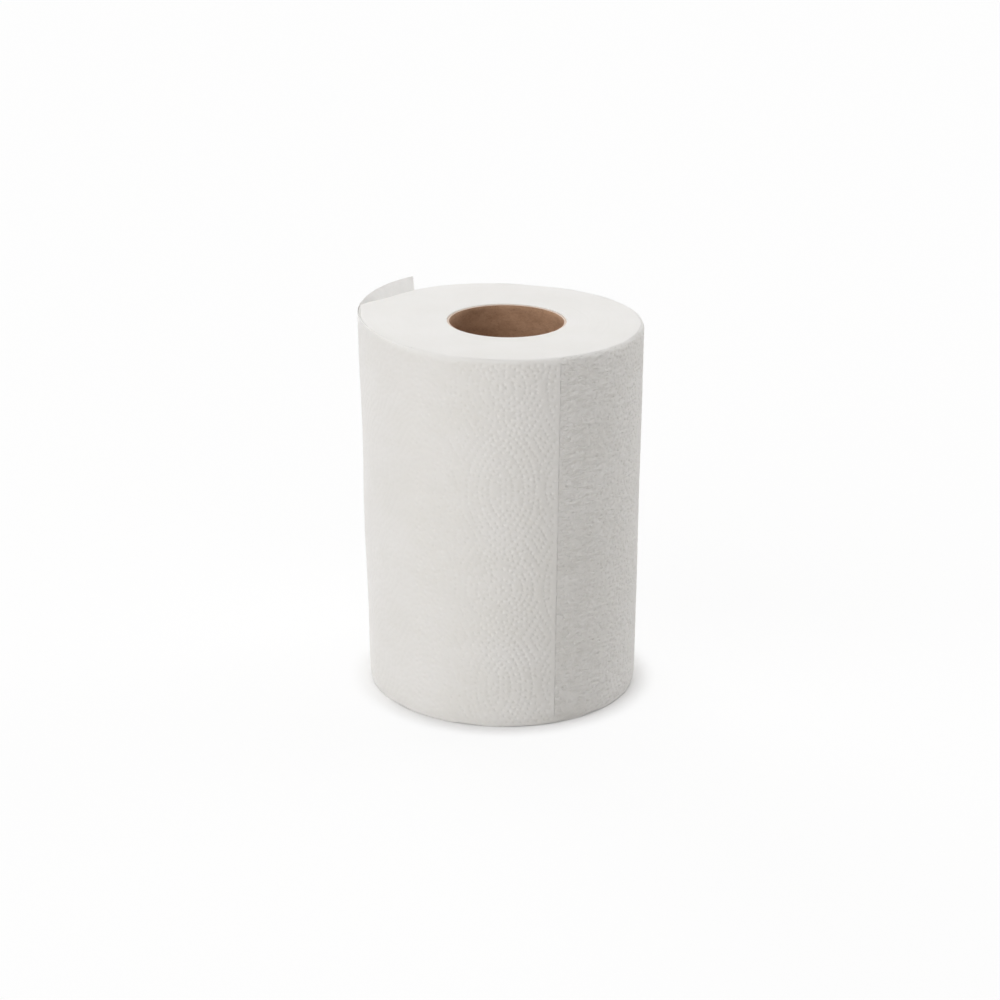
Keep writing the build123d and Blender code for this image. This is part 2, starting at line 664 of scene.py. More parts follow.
@dataclass
class Sheet:
    """One sheet of the web, from one perforation to the next, as a closed thin shell."""

    name: str
    web: Web
    emboss: Emboss
    start: float
    end: float
    start_edge: SheetEdge
    end_edge: SheetEdge
    press_strength: float = 1.0
    strain_ripple: float = 0.0
    slit_length: float = 7.0
    slit_tie: float = 2.0
    slit_half_width: float = 0.09
    slit_dip: float = 0.2
    filler_pitch: float = 2.3
    hidden_pitch: float = 6.0
    crease_pitch: float = 2.6
    crease_reach: float = 120.0
    crease_grid: tuple[float, float] = (3.0, 0.42)
    deepest: float = 0.8
    rim_rows: tuple[float, ...] = (0.45, 1.0, 1.7)
    slit_corner: float = 0.25
    slit_rows: int = 4
    tear_reach: tuple[float, float] = (0.1, 0.5)
    hidden_rows: int = 60
    stagger: float = 0.25
    jitter: float = 0.12
    root_run: float = 5.0
    dot_clearance: float = 1.25
    wound_rings: tuple[tuple[float, int], ...] = ((0.45, 6), (0.9, 8))
    free_rings: tuple[tuple[float, int], ...] = ((0.75, 7),)
    dip_reach: float = 1.2
    map_room: float = 1.0
    crease_wander: Waves = ((83.0, 57.0, 0.7), (-59.0, 41.0, 2.9), (127.0, -73.0, 5.1))
    crease_bend: Waves = ((37.0, 61.0, 1.1), (-53.0, 29.0, 4.0))
    crease_run: float = 13.0
    crease_fade: float = 30.0
    seed: int = 7

    def _edge_points(self, place: float, kind: SheetEdge, inward: float) -> np.ndarray:
        """Points up an upright edge, set back at each slit.

        Args:
            place: Distance of the edge from the free end.
            kind: How the edge ends.
            inward: Direction into the sheet, 1 or -1.

        Returns:
            Distance and height of each point, from the bottom to the top.
        """
        height = self.web.height
        if kind is SheetEdge.HIDDEN:
            levels = np.linspace(0.0, height, self.hidden_rows)
            return np.stack([np.full_like(levels, place), levels], axis=1)
        pitch = self.slit_length + self.slit_tie
        count = int((height - self.slit_tie) / pitch)
        lowest = (height - (count - 1) * pitch) / 2.0
        rng = np.random.default_rng(self.seed)
        rows = [(place, 0.0)]
        for number in range(count):
            middle = lowest + number * pitch
            low = middle - self.slit_length / 2.0
            high = middle + self.slit_length / 2.0
            back = place + inward * self.slit_half_width
            tear = place - inward * rng.uniform(*self.tear_reach) if kind is SheetEdge.TORN else place
            rows.append((tear, low - self.slit_corner))
            rows.extend((back, level) for level in np.linspace(low, high, self.slit_rows))
            rows.append((tear, high + self.slit_corner))
        rows.append((place, height))
        return np.array(rows)

    def _outline(self) -> np.ndarray:
        """Draw the closed outline of the flat sheet.

        Returns:
            Distance and height of each point, counter-clockwise, without the first one again.
        """
        height = self.web.height
        left = self._edge_points(self.start, self.start_edge, 1.0)
        right = self._edge_points(self.end, self.end_edge, -1.0)
        count = round((self.end - self.start) / self.filler_pitch)
        along = np.linspace(self.start, self.end, count + 1)[1:-1]
        bottom = np.stack([along, np.zeros_like(along)], axis=1)
        top = np.stack([along[::-1], np.full_like(along, height)], axis=1)
        return np.vstack([left[:1], bottom, right, top, left[:0:-1]])

    def _filler(
        self, pitches: tuple[float, float], dots: np.ndarray, clearance: float, start: float, end: float
    ) -> np.ndarray:
        """Staggered grid of points that keep clear of the dots and of the sheet's edges.

        Args:
            pitches: Grid pitch along the web and up it.
            dots: Dot centres.
            clearance: Least distance from a dot's centre.
            start: Distance from the free end where the grid begins.
            end: Distance where it ends.

        Returns:
            Distance and height of each point.
        """
        columns = round((end - start) / pitches[0])
        rows = round(self.web.height / pitches[1])
        across, up = np.meshgrid(np.arange(1, columns), np.arange(1, rows), indexing="ij")
        along = start + across * (end - start) / columns
        level = (up + self.stagger * (-1.0) ** across) * self.web.height / rows
        points = np.stack([along, level], axis=-1).reshape(-1, 2)
        rng = np.random.default_rng(self.seed + 1)
        points = points + rng.uniform(-self.jitter, self.jitter, points.shape) * np.array(pitches)
        edge_columns = start + np.arange(1, columns) * (end - start) / columns
        for inset in self.rim_rows:
            for rim_level in (inset, self.web.height - inset):
                row = np.stack([edge_columns, np.full_like(edge_columns, rim_level)], axis=1)
                points = np.vstack([points, row])
        if len(dots) == 0:
            return points
        return points[self._nearest(points, dots) > clearance]

    @staticmethod
    def _nearest(points: np.ndarray, dots: np.ndarray) -> np.ndarray:
        """Measure from points to the dots.

        Args:
            points: Points to measure from.
            dots: Dot centres.

        Returns:
            Distance from each point to the nearest dot.
        """
        tree = kdtree.KDTree(len(dots))
        for number, dot in enumerate(dots):
            tree.insert((dot[0], dot[1], 0.0), number)
        tree.balance()
        return np.array([tree.find((point[0], point[1], 0.0))[2] for point in points])

    def _around_dots(self, dots: np.ndarray, rings: tuple[tuple[float, int], ...]) -> np.ndarray:
        """Set points on the dots and around them.

        Args:
            dots: Dot centres.
            rings: Rings around each dot, as shares of its radius and counts of points.

        Returns:
            The centres and the points of their rings.
        """
        points = [dots]
        for share, count in rings:
            angle = (np.arange(count) + 0.5 * share) * FULL_TURN / count
            ring = np.stack([np.cos(angle), np.sin(angle)], axis=1) * share * self.emboss.dot_radius
            points.append((dots[:, None, :] + ring[None, :, :]).reshape(-1, 2))
        return np.vstack(points)

    @staticmethod
    def _triangulate(outline: np.ndarray, inner: np.ndarray) -> tuple[np.ndarray, np.ndarray, np.ndarray]:
        """Triangles of a flat outline through given inner points.

        Args:
            outline: Points of the closed outline.
            inner: Points inside it.

        Returns:
            All points, triangles as point numbers, and the number of each outline point.
        """
        given = [Vector(point) for point in np.vstack([outline, inner])]
        loop = list(range(len(outline)))
        points, _edges, faces, origins, *_rest = delaunay_2d_cdt(given, [], [loop], 1, 1e-6)
        number = {source: made for made, sources in enumerate(origins) for source in sources}
        flat = np.array([tuple(point) for point in points])
        return flat, np.array(faces), np.array([number[source] for source in loop])

    def _creases(self, along: np.ndarray, up: np.ndarray) -> np.ndarray:
        """Fine level creases of a web under strain, which wander and break off.

        Args:
            along: Distance from the free end.
            up: Height on the flat web.

        Returns:
            Numbers from -1 in a crease to 0 between them.
        """
        wander = ripple(along, up, self.crease_wander)
        bend = ripple(along, up, self.crease_bend)
        runs = 0.5 + 0.5 * np.sin(FULL_TURN * (along / self.crease_run + 2.2 * bend))
        level_turns = up / self.crease_pitch - along / 60.0 + 1.6 * wander
        slanted_turns = up / (1.4 * self.crease_pitch) - along / 120.0 + 1.3 * bend
        level_grooves = (0.5 + 0.5 * np.cos(FULL_TURN * level_turns)) ** 3
        slanted_grooves = (0.5 + 0.5 * np.cos(FULL_TURN * slanted_turns)) ** 3
        grooves = level_grooves * runs + slanted_grooves * (1.0 - runs)
        fade = smooth_step(along - self.start, self.crease_reach - self.crease_fade, self.crease_reach)
        return -grooves * (1.0 - fade)

    def _relief(self, flat: np.ndarray, dots: np.ndarray) -> np.ndarray:
        """Shape a face: pressed dots, the dip at a perforation and the creases of a web under strain.

        Args:
            flat: Distance and height of each point.
            dots: Dot centres.

        Returns:
            How far each point lies out from the smooth web.
        """
        pressed = 0.0
        if len(dots):
            pressed = self.emboss.press(self._nearest(flat, dots)) * self.press_strength
        end_reach = np.minimum(flat[:, 0] - self.start, self.end - flat[:, 0])
        dip = self.slit_dip * (1.0 - smooth_step(end_reach, 0.0, self.dip_reach))
        relief = pressed - dip + self.strain_ripple * self._creases(flat[:, 0], flat[:, 1])
        return np.clip(relief, -self.deepest, None)

    def build(self, material: bpy.types.Material) -> bpy.types.Object:
        """Make the sheet's mesh.

        Args:
            material: Finish of the paper.

        Returns:
            The sheet as an object.
        """
        outline = self._outline()
        dots = self.emboss.dots(self.start, self.end, self.web.height)
        clearance = self.dot_clearance * self.emboss.dot_radius
        wound_start = max(self.start, self.web.tail_length + self.root_run)
        free_dots = dots[dots[:, 0] < wound_start]
        wound_dots = dots[dots[:, 0] >= wound_start]
        plain_grid = (self.filler_pitch, self.filler_pitch)
        hidden_grid = (self.hidden_pitch, self.hidden_pitch)
        creased_end = wound_start
        if self.strain_ripple > 0.0:
            creased_end = min(wound_start + self.crease_reach, self.end)
        wound_inside = [self._around_dots(wound_dots, self.wound_rings)]
        if creased_end > wound_start:
            wound_inside.append(self._filler(self.crease_grid, dots, clearance, wound_start, creased_end))
        if creased_end < self.end:
            wound_inside.append(self._filler(plain_grid, dots, clearance, creased_end, self.end))
        outer_inside = np.vstack(wound_inside)
        inner_inside = self._filler(hidden_grid, dots[:0], 0.0, wound_start, self.end)
        if len(free_dots):
            free_inside = np.vstack([
                self._around_dots(free_dots, self.free_rings),
                self._filler(plain_grid, dots, clearance, self.start, wound_start),
            ])
            outer_inside = np.vstack([outer_inside, free_inside])
            inner_inside = np.vstack([inner_inside, free_inside])
        maker = MeshMaker(self.name)
        outer_flat, outer_faces, outer_loop = self._triangulate(outline, outer_inside)
        inner_flat, inner_faces, inner_loop = self._triangulate(outline, inner_inside)
        outer_relief = self._relief(outer_flat, dots)
        inner_relief = self._relief(inner_flat, free_dots) - self.web.thickness(inner_flat[:, 0])
        outer = maker.add_points(self.web.place(outer_flat[:, 0], outer_flat[:, 1], outer_relief))
        inner = maker.add_points(self.web.place(inner_flat[:, 0], inner_flat[:, 1], inner_relief))
        half = 0.47
        outer_map = self._map(outer_flat, map_band(0.52, half))
        inner_map = self._map(inner_flat, map_band(0.03, half))
        maker.add_triangles(outer[outer_faces], outer_map[outer_faces])
        maker.add_triangles(inner[inner_faces][:, ::-1], inner_map[inner_faces][:, ::-1])
        around = np.append(np.arange(len(outline)), 0)
        rim = map_band(0.004, 0.012)
        share = np.linspace(0.0, 1.0, len(around))
        rim_maps = (rim.row(share, 0.0), rim.row(share, 1.0))
        maker.add_strip(inner[inner_loop][around], outer[outer_loop][around], *rim_maps)
        return maker.build([material], sharp_degrees=50.0)

    def _map(self, flat: np.ndarray, area: MapArea) -> np.ndarray:
        """Map places of flat points of the sheet."""
        across = (flat[:, 0] - self.start + self.map_room) / (self.end - self.start + 2.0 * self.map_room)
        return area.place(across, flat[:, 1] / self.web.height)


@dataclass
class WoundTurns:
    """The wound web inside its last sheet, with the edges of its turns on both ends."""

    web: Web
    bore_radius: float
    turn_pitch: float = 0.66
    around: int = 240
    valley_depth: float = 0.09
    turn_unevenness: float = 0.06
    rim_depth: float = 4.0
    rim_drop: float = 0.15
    skin_gap: float = 0.05
    loose_band: float = 18.0
    merge_turn: float = 0.1
    sliver: float = 0.04
    step_ease: float = math.radians(30.0)
    stations_per_turn: int = 9
    seed: int = 11

    def build(self, material: bpy.types.Material) -> bpy.types.Object:
        """Make the wound body.

        Args:
            material: Finish of the paper.

        Returns:
            The turns as an object.
        """
        maker = MeshMaker("towel_turns")
        outside = self.web.radius - self.web.step - self.web.wound_thickness - self.skin_gap
        turns = int((outside - self.bore_radius) / self.turn_pitch) - 1
        pitch = (outside - self.bore_radius) / (turns + 1)
        number = np.arange(turns * self.around + 1)
        angle = -number * FULL_TURN / self.around + self.web.root_angle
        valley_radius = self._line(number / self.around, 0.0, turns, outside)
        ridge_radius = self._line(number / self.around, 0.5, turns, outside)
        turned = np.mod(angle - self.web.root_angle, FULL_TURN)
        eased = np.maximum(turned, FULL_TURN * (1.0 - smooth_step(turned, 0.0, self.step_ease)))
        skin = self.web.tight_radius(eased) - self.web.wound_thickness - self.skin_gap
        rng = np.random.default_rng(self.seed)
        stations = rng.normal(0.0, 1.0, turns * self.stations_per_turn + 2)
        station = number / self.around * self.stations_per_turn
        unevenness = np.interp(station, np.arange(len(stations)), stations)
        top_map = MapArea((MAP_MARGIN, 0.5), (0.49 - MAP_MARGIN, 0.49))
        foot_map = MapArea((0.51, 0.5), (0.49 - MAP_MARGIN, 0.49))
        distance = self.web.tail_length + turned * self.web.radius
        loops = []
        for upper, area in ((True, top_map), (False, foot_map)):
            edge = np.full_like(skin, self.web.height if upper else 0.0)
            tuck = self.web.rim_tuck * self.web.rim_hold(distance, edge) if upper else self.web.foot_tuck
            target = skin + self.web.slack(distance, edge) - tuck
            rows = []
            maps = []
            for radius, depth in ((valley_radius, self.valley_depth), (ridge_radius, 0.0)):
                drop = self.rim_drop * np.clip(1.0 - (outside - radius) / self.rim_depth, 0.0, None) ** 2
                valley = depth * np.clip((outside - radius) / pitch, 0.0, 1.0)
                lower = valley + drop + self.turn_unevenness * (1.0 + np.clip(unevenness, -1.0, 1.0)) / 2.0
                level = self.web.height - lower if upper else lower
                share = smooth_step(radius, outside - self.loose_band, outside)
                reach = radius + (target - outside) * share
                rows.append(maker.add_points(around_axis(reach, angle, level)))
                flat = around_axis(0.5 * radius / outside, angle, 0.0)
                maps.append(area.place(0.5 + flat[:, 0], 0.5 + flat[:, 1]))
            loops.append(self._end_face(maker, rows, maps, upper))
        self._walls(maker, loops)
        return maker.build([material], sharp_degrees=60.0)

    def _line(self, turn: np.ndarray, shift: float, turns: int, outside: float) -> np.ndarray:
        """Follow a spiral line that parts from the bore and joins the outside at its end.

        Args:
            turn: Turns wound at each column.
            shift: Turns by which the line is ahead of the valley line.
            turns: Number of turns.
            outside: Radius of the wound body.

        Returns:
            Radius at each column.
        """
        wound = turn + shift
        spiral = self.bore_radius + (outside - self.bore_radius) * wound / (turns + 1)
        inner = self.bore_radius + self.sliver * wound
        outer = outside - self.sliver * (turns + 0.5 - wound)
        start = 1.0 - shift
        end = turns - shift
        parted = inner + (spiral - inner) * smooth_step(wound, start, start + self.merge_turn)
        return parted + (outer - parted) * smooth_step(wound, end - self.merge_turn, end)

    def _end_face(
        self, maker: MeshMaker, rows: list[np.ndarray], maps: list[np.ndarray], upper: bool
    ) -> tuple[np.ndarray, np.ndarray]:
        """Join the spiral rows of one end into its face.

        Args:
            maker: Mesh that takes the triangles.
            rows: Point numbers along the valley line and along the ridge line.
            maps: Map places of the same points.
            upper: Whether the face looks up.

        Returns:
            Closed loops of point numbers at the bore and at the outside.
        """
        valley, ridge = rows
        valley_map, ridge_map = maps
        turn = self.around
        maker.add_strip(valley, ridge, valley_map, ridge_map, flip=not upper)
        maker.add_strip(ridge[:-turn], valley[turn:], ridge_map[:-turn], valley_map[turn:], flip=not upper)
        bore_loop = np.concatenate([valley[: turn + 1], ridge[:1], valley[:1]])
        last_turn = ridge[-turn - 1 :]
        outside_loop = np.concatenate([last_turn, valley[-1:], last_turn[:1]])
        return bore_loop, outside_loop

    @staticmethod
    def _walls(maker: MeshMaker, loops: list[tuple[np.ndarray, np.ndarray]]) -> None:
        """Close the body between its ends, at the bore and at the outside.

        Args:
            maker: Mesh that takes the triangles.
            loops: Bore loop and outside loop of the upper and of the lower end.
        """
        (upper_bore, upper_outside), (lower_bore, lower_outside) = loops
        for number, (first, second) in enumerate(((lower_bore, upper_bore), (upper_outside, lower_outside))):
            area = map_band(0.02 + 0.24 * number, 0.22)
            share = np.linspace(0.0, 1.0, len(first))
            maker.add_strip(first, second, area.row(share, 0.0), area.row(share, 1.0))


@dataclass
class CoreTube:
    """Cardboard tube, wound from a strip of board that leaves a fine seam along a helix."""

    bore_radius: float
    outside_radius: float
    foot: float
    top: float
    seam_lead: float = 150.0
    seam_half_width: float = 0.2
    seam_depth: float = 0.12
    seam_start: float = math.radians(160.0)
    edge_round: float = 0.25
    columns: int = 168
    rows: int = 80
    sag_depth: float = 0.12
    sag_waves: Waves = ((94.25, 400.0, 0.0), (62.83, -260.0, 1.0))
    rim_shares: tuple[float, ...] = (0.25, 0.75)
    fray_depth: float = 0.07
    fray_shift: float = 90.0
    fray_waves: Waves = ((7.3, 50.0, 0.0), (11.9, 70.0, 2.0))
    cut_slot: int = 1

    def _columns(self) -> np.ndarray:
        """Set the helix columns around the tube, with two pairs close to the seam.

        Returns:
            Angle of each column from the seam, up to a full turn.
        """
        seam = self.seam_half_width / self.bore_radius
        even = np.linspace(0.0, FULL_TURN, self.columns + 1)[1:-1]
        even = even[(even > 4.0 * seam) & (even < FULL_TURN - 4.0 * seam)]
        close = np.array([0.0, seam, 2.0 * seam])
        return np.concatenate([close, even, FULL_TURN - close[:0:-1], [FULL_TURN]])

    def _angles(self, columns: np.ndarray, level: float) -> np.ndarray:
        """Angle of each column at a height, where the helix has turned it."""
        return columns[:-1] + self.seam_start + FULL_TURN * level / self.seam_lead

    def build(self, board: bpy.types.Material, cut_edge: bpy.types.Material) -> bpy.types.Object:
        """Make the tube.

        Args:
            board: Finish of the board's faces.
            cut_edge: Finish of the cut ends.

        Returns:
            The tube as an object.
        """
        maker = MeshMaker("core_board_tube")
        columns = self._columns()
        levels = np.linspace(self.foot + self.edge_round, self.top - self.edge_round, self.rows)
        faces = []
        for radius, outward in ((self.bore_radius, -1.0), (self.outside_radius, 1.0)):
            seam_reach = np.minimum(columns, FULL_TURN - columns) * radius
            seam = 1.0 - smooth_step(seam_reach, 0.0, 2.0 * self.seam_half_width)
            rows = []
            for level in levels:
                angle = self._angles(columns, level)
                sag = self.sag_depth * ripple(angle * self.bore_radius, level, self.sag_waves)
                reach = radius - outward * self.seam_depth * seam[:-1] + sag
                rows.append(maker.add_points(around_axis(reach, angle, level)))
            faces.append(rows)
        bore_rows, outside_rows = faces
        bore_area = map_band(0.53, 0.46)
        outside_area = map_band(0.06, 0.46)
        share = columns / FULL_TURN
        around = np.append(np.arange(len(columns) - 1), 0)
        for rows, area, inward in ((bore_rows, bore_area, True), (outside_rows, outside_area, False)):
            for number in range(self.rows - 1):
                low_map = area.row(share, number / (self.rows - 1))
                high_map = area.row(share, (number + 1) / (self.rows - 1))
                low = rows[number][around]
                high = rows[number + 1][around]
                maker.add_strip(low, high, low_map, high_map, flip=inward)
        self._cut_end(maker, bore_rows[-1][around], outside_rows[-1][around], columns, True)
        self._cut_end(maker, bore_rows[0][around], outside_rows[0][around], columns, False)
        return maker.build([board, cut_edge], sharp_degrees=70.0)

    def _cut_end(
        self, maker: MeshMaker, bore: np.ndarray, outside: np.ndarray, columns: np.ndarray, upper: bool
    ) -> None:
        """Close one cut end with a slightly rounded, uneven rim.

        Args:
            maker: Mesh that takes the triangles.
            bore: Point numbers of the bore's last row, closed.
            outside: Point numbers of the outside's last row, closed.
            columns: Angle of each column, before the helix turns it.
            upper: Whether the end looks up.
        """
        end = self.top if upper else self.foot
        inward = -1.0 if upper else 1.0
        angle = self._angles(columns, end + inward * self.edge_round)
        rows = [bore]
        for share in self.rim_shares:
            radius = self.bore_radius + (self.outside_radius - self.bore_radius) * share
            fray = ripple(angle * radius, self.fray_shift * share, self.fray_waves)
            level = end + inward * self.fray_depth * (1.0 + fray)
            made = maker.add_points(around_axis(radius, angle, level))
            rows.append(np.append(made, made[0]))
        rows.append(outside)
        strip = map_band(0.004 if upper else 0.028, 0.02)
        share_around = columns / FULL_TURN
        bands = len(rows) - 1
        for number in range(bands):
            first_map = strip.row(share_around, number / bands)
            second_map = strip.row(share_around, (number + 1) / bands)
            maker.add_strip(rows[number], rows[number + 1], first_map, second_map, self.cut_slot, flip=upper)


class Shade:
    """A shader socket with arithmetic: each expression on it adds Math nodes."""

    def __init__(self, graph: Graph, socket: bpy.types.NodeSocket) -> None:
        """Wrap a socket.

        Args:
            graph: Node graph that the socket belongs to.
            socket: Output socket that gives a number, colour or vector.
        """
        self.graph = graph
        self.socket = socket

    def _math(self, operation: str, *values: Shade | float) -> Shade:
        """Add a Math node on these values."""
        return self.graph.node("ShaderNodeMath", {"operation": operation}, dict(enumerate(values)))

    def __add__(self, other: Shade | float) -> Shade:
        """Sum of the two."""
        return self._math("ADD", self, other)

    def __radd__(self, other: float) -> Shade:
        """Sum of the two."""
        return self._math("ADD", other, self)

    def __sub__(self, other: Shade | float) -> Shade:
        """This less the other."""
        return self._math("SUBTRACT", self, other)

    def __rsub__(self, other: float) -> Shade:
        """The other less this."""
        return self._math("SUBTRACT", other, self)

    def __mul__(self, other: Shade | float) -> Shade:
        """Product of the two."""
        return self._math("MULTIPLY", self, other)

    def __rmul__(self, other: float) -> Shade:
        """Product of the two."""
        return self._math("MULTIPLY", other, self)

    def __truediv__(self, other: Shade | float) -> Shade:
        """This divided by the other."""
        return self._math("DIVIDE", self, other)

    def angle_to(self, other: Shade) -> Shade:
        """Angle of the point whose height is this and whose width is the other."""
        return self._math("ARCTAN2", self, other)

    def part(self) -> Shade:
        """What is left above the whole number below this."""
        return self._math("FRACT", self)

    def root(self) -> Shade:
        """Square root."""
        return self._math("SQRT", self)

    def eased(self, low: float, high: float) -> Shade:
        """Ease from 0 at low to 1 at high.

        Args:
            low: Value that gives 0.
            high: Value that gives 1.

        Returns:
            The eased value.
        """
        sockets = {"Value": self, "From Min": low, "From Max": high}
        return self.graph.node("ShaderNodeMapRange", {"interpolation_type": "SMOOTHSTEP"}, sockets)


class Graph:
    """Node graph of one material or world."""

    def __init__(self, tree: bpy.types.NodeTree) -> None:
        """Empty a node tree and take it over.

        Args:
            tree: Node tree of a material or world.
        """
        self.tree = tree
        tree.nodes.clear()

    def node(
        self, kind: str, settings: dict[str, object], sockets: dict[str | int, object], output: str | int = 0
    ) -> Shade:
        """Add one node.

        Args:
            kind: Type name of the node.
            settings: Properties that are set first. A ramp's stops are given as "stops".
            sockets: Value or link of each input socket, by its name or number.
            output: Output socket to give back, by its name or number.

        Returns:
            The chosen output, wrapped.
        """
        made = self.tree.nodes.new(kind)
        for name, value in settings.items():
            if name == "stops":
                self._set_stops(made.color_ramp, value)
            else:
                setattr(made, name, value)
        for name, value in sockets.items():
            if isinstance(value, Shade):
                self.tree.links.new(value.socket, made.inputs[name])
            else:
                made.inputs[name].default_value = value
        return Shade(self, made.outputs[output]) if len(made.outputs) else Shade(self, made.inputs[0])

    @staticmethod
    def _set_stops(ramp: bpy.types.ColorRamp, stops: list[tuple[float, tuple[float, float, float]]]) -> None:
        """Give a ramp its stops.

        Args:
            ramp: Ramp to set.
            stops: Place and colour of each stop.
        """
        while len(ramp.elements) < len(stops):
            ramp.elements.new(1.0)
        for element, (place, colour) in zip(ramp.elements, stops):
            element.position = place
            element.color = (*colour, 1.0)

    def coordinates(self) -> Shade:
        """Place on the object, in metres in the roll's frame."""
        return self.node("ShaderNodeTexCoord", {}, {}, "Object")

    def place_parts(self) -> tuple[Shade, ...]:
        """The three parts of the place on the object."""
        first = self.node("ShaderNodeSeparateXYZ", {}, {"Vector": self.coordinates()})
        return tuple(Shade(self, output) for output in first.socket.node.outputs)

    def noise(self, stretch: tuple[float, float, float], detail: float, roughness: float) -> Shade:
        """Noise that is finer along an axis the larger its stretch is there.

        Args:
            stretch: Features per metre along each axis.
            detail: Number of finer layers.
            roughness: Strength of the finer layers.

        Returns:
            Noise from 0 to 1.
        """
        place = self.node("ShaderNodeMapping", {}, {"Vector": self.coordinates(), "Scale": stretch})
        sockets = {"Vector": place, "Scale": 1.0, "Detail": detail, "Roughness": roughness}
        return self.node("ShaderNodeTexNoise", {}, sockets, "Fac")

    def mix_colour(self, share: Shade, first: Shade | tuple, second: Shade | tuple) -> Shade:
        """Colour between two colours.

        Args:
            share: 0 for the first colour and 1 for the second.
            first: Colour or link.
            second: Colour or link.

        Returns:
            The mixed colour.
        """
        return self.node("ShaderNodeMix", {"data_type": "RGBA"}, {0: share, 6: first, 7: second}, 2)

    def seen_directly(self) -> Shade:
        """Tell what is looked at from what only gives light.

        Returns:
            1 for rays from the camera, a mirror or glass, and 0 for the light that a surface gathers.
        """
        rays = self.node("ShaderNodeLightPath", {}, {}).socket.node.outputs
        seen = [Shade(self, rays[f"Is {kind} Ray"]) for kind in ("Camera", "Glossy", "Transmission")]
        return (seen[0] + seen[1] + seen[2]).eased(0.0, 1.0)

    def principled(self, sockets: dict[str | int, object]) -> Shade:
        """Add a Principled surface.

        Args:
            sockets: Values and links of the surface.

        Returns:
            The surface.
        """
        return self.node("ShaderNodeBsdfPrincipled", {}, sockets)

    def finish(self, shader: Shade) -> None:
        """Make a surface the material's own."""
        self.node("ShaderNodeOutputMaterial", {}, {"Surface": shader})

    def bump(self, height: Shade, depth: float) -> Shade:
        """Normal bent by a height from 0 to 1.

        Args:
            height: Height as a share of depth.
            depth: Full depth in metres.

        Returns:
            The bent normal.
        """
        sockets = {"Strength": 1.0, "Distance": depth, "Height": height}
        return self.node("ShaderNodeBump", {}, sockets, "Normal")


def new_material(name: str) -> tuple[bpy.types.Material, Graph]:
    """Start a material with an empty node graph.

    Args:
        name: Name of the finish.

    Returns:
        The material and its graph.
    """
    material = bpy.data.materials.new(name)
    material.use_nodes = True
    return material, Graph(material.node_tree)


def linear(red: int, green: int, blue: int) -> tuple[float, float, float, float]:
    """Scene colour of a screen colour.

    Args:
        red: Red from 0 to 255.
        green: Green from 0 to 255.
        blue: Blue from 0 to 255.

    Returns:
        Linear red, green, blue and full alpha.
    """
    shares = [channel / 255.0 for channel in (red, green, blue)]
    channels = [share / 12.92 if share <= 0.04045 else ((share + 0.055) / 1.055) ** 2.4 for share in shares]
    return (*channels, 1.0)


@dataclass(frozen=True)
class PaperFinish:
    """Soft white tissue: creped fibres, faint tone changes and, where the web is strained, fine wrinkles
    whose grooves get painted shade.
    """

    name: str
    light: tuple[int, int, int] = (242, 240, 237)
    dark: tuple[int, int, int] = (239, 237, 233)
    crepe_depth: float = 0.00010
    glow_depth: float = 0.0005
    # Painted shade: a darker colour mixed into the wrinkle grooves where shade would fall; the same share
    # also scales the wrinkles' bump.
    painted_crease_shade: tuple[int, int, int] = (235, 233, 229)
    crease_bump_and_shade_share: float = 0.0
    crease_depth: float = 3.5

    def make(self) -> bpy.types.Material:
        """Write the material.

        Returns:
            The material.
        """
        material, graph = new_material(self.name)
        crepe = graph.noise((1500.0, 1500.0, 300.0), detail=3.0, roughness=0.6)
        fibre = graph.noise((2600.0, 2600.0, 2600.0), detail=4.0, roughness=0.7)
        tone = graph.noise((26.0, 26.0, 40.0), detail=4.0, roughness=0.6)
        height = 0.6 * crepe + 0.4 * fibre
        mottle = tone * 0.7 + fibre * 0.3
        colour = graph.mix_colour(mottle.eased(0.35, 0.65), linear(*self.dark), linear(*self.light))
        if self.crease_bump_and_shade_share > 0.0:
            # Wrinkle mask: lowers the bump in the grooves and paints shade into them with the darker colour.
            wrinkles = graph.noise((200.0, 200.0, 640.0), detail=3.0, roughness=0.6)
            creases = wrinkles.eased(0.46, 0.68) * self.crease_bump_and_shade_share
            height = height - creases * self.crease_depth
            colour = graph.mix_colour(creases, colour, linear(*self.painted_crease_shade))
        graph.finish(graph.principled({
            "Base Color": colour,
            "Roughness": 0.82 + 0.16 * fibre,
            "Normal": graph.bump(height, self.crepe_depth),
            "Specular IOR Level": 0.25,
            "Sheen Weight": 0.2,
            "Sheen Roughness": 0.5,
            "Subsurface Weight": 1.0,
            "Subsurface Radius": (1.0, 1.0, 1.0),
            "Subsurface Scale": self.glow_depth,
        }))
        return material


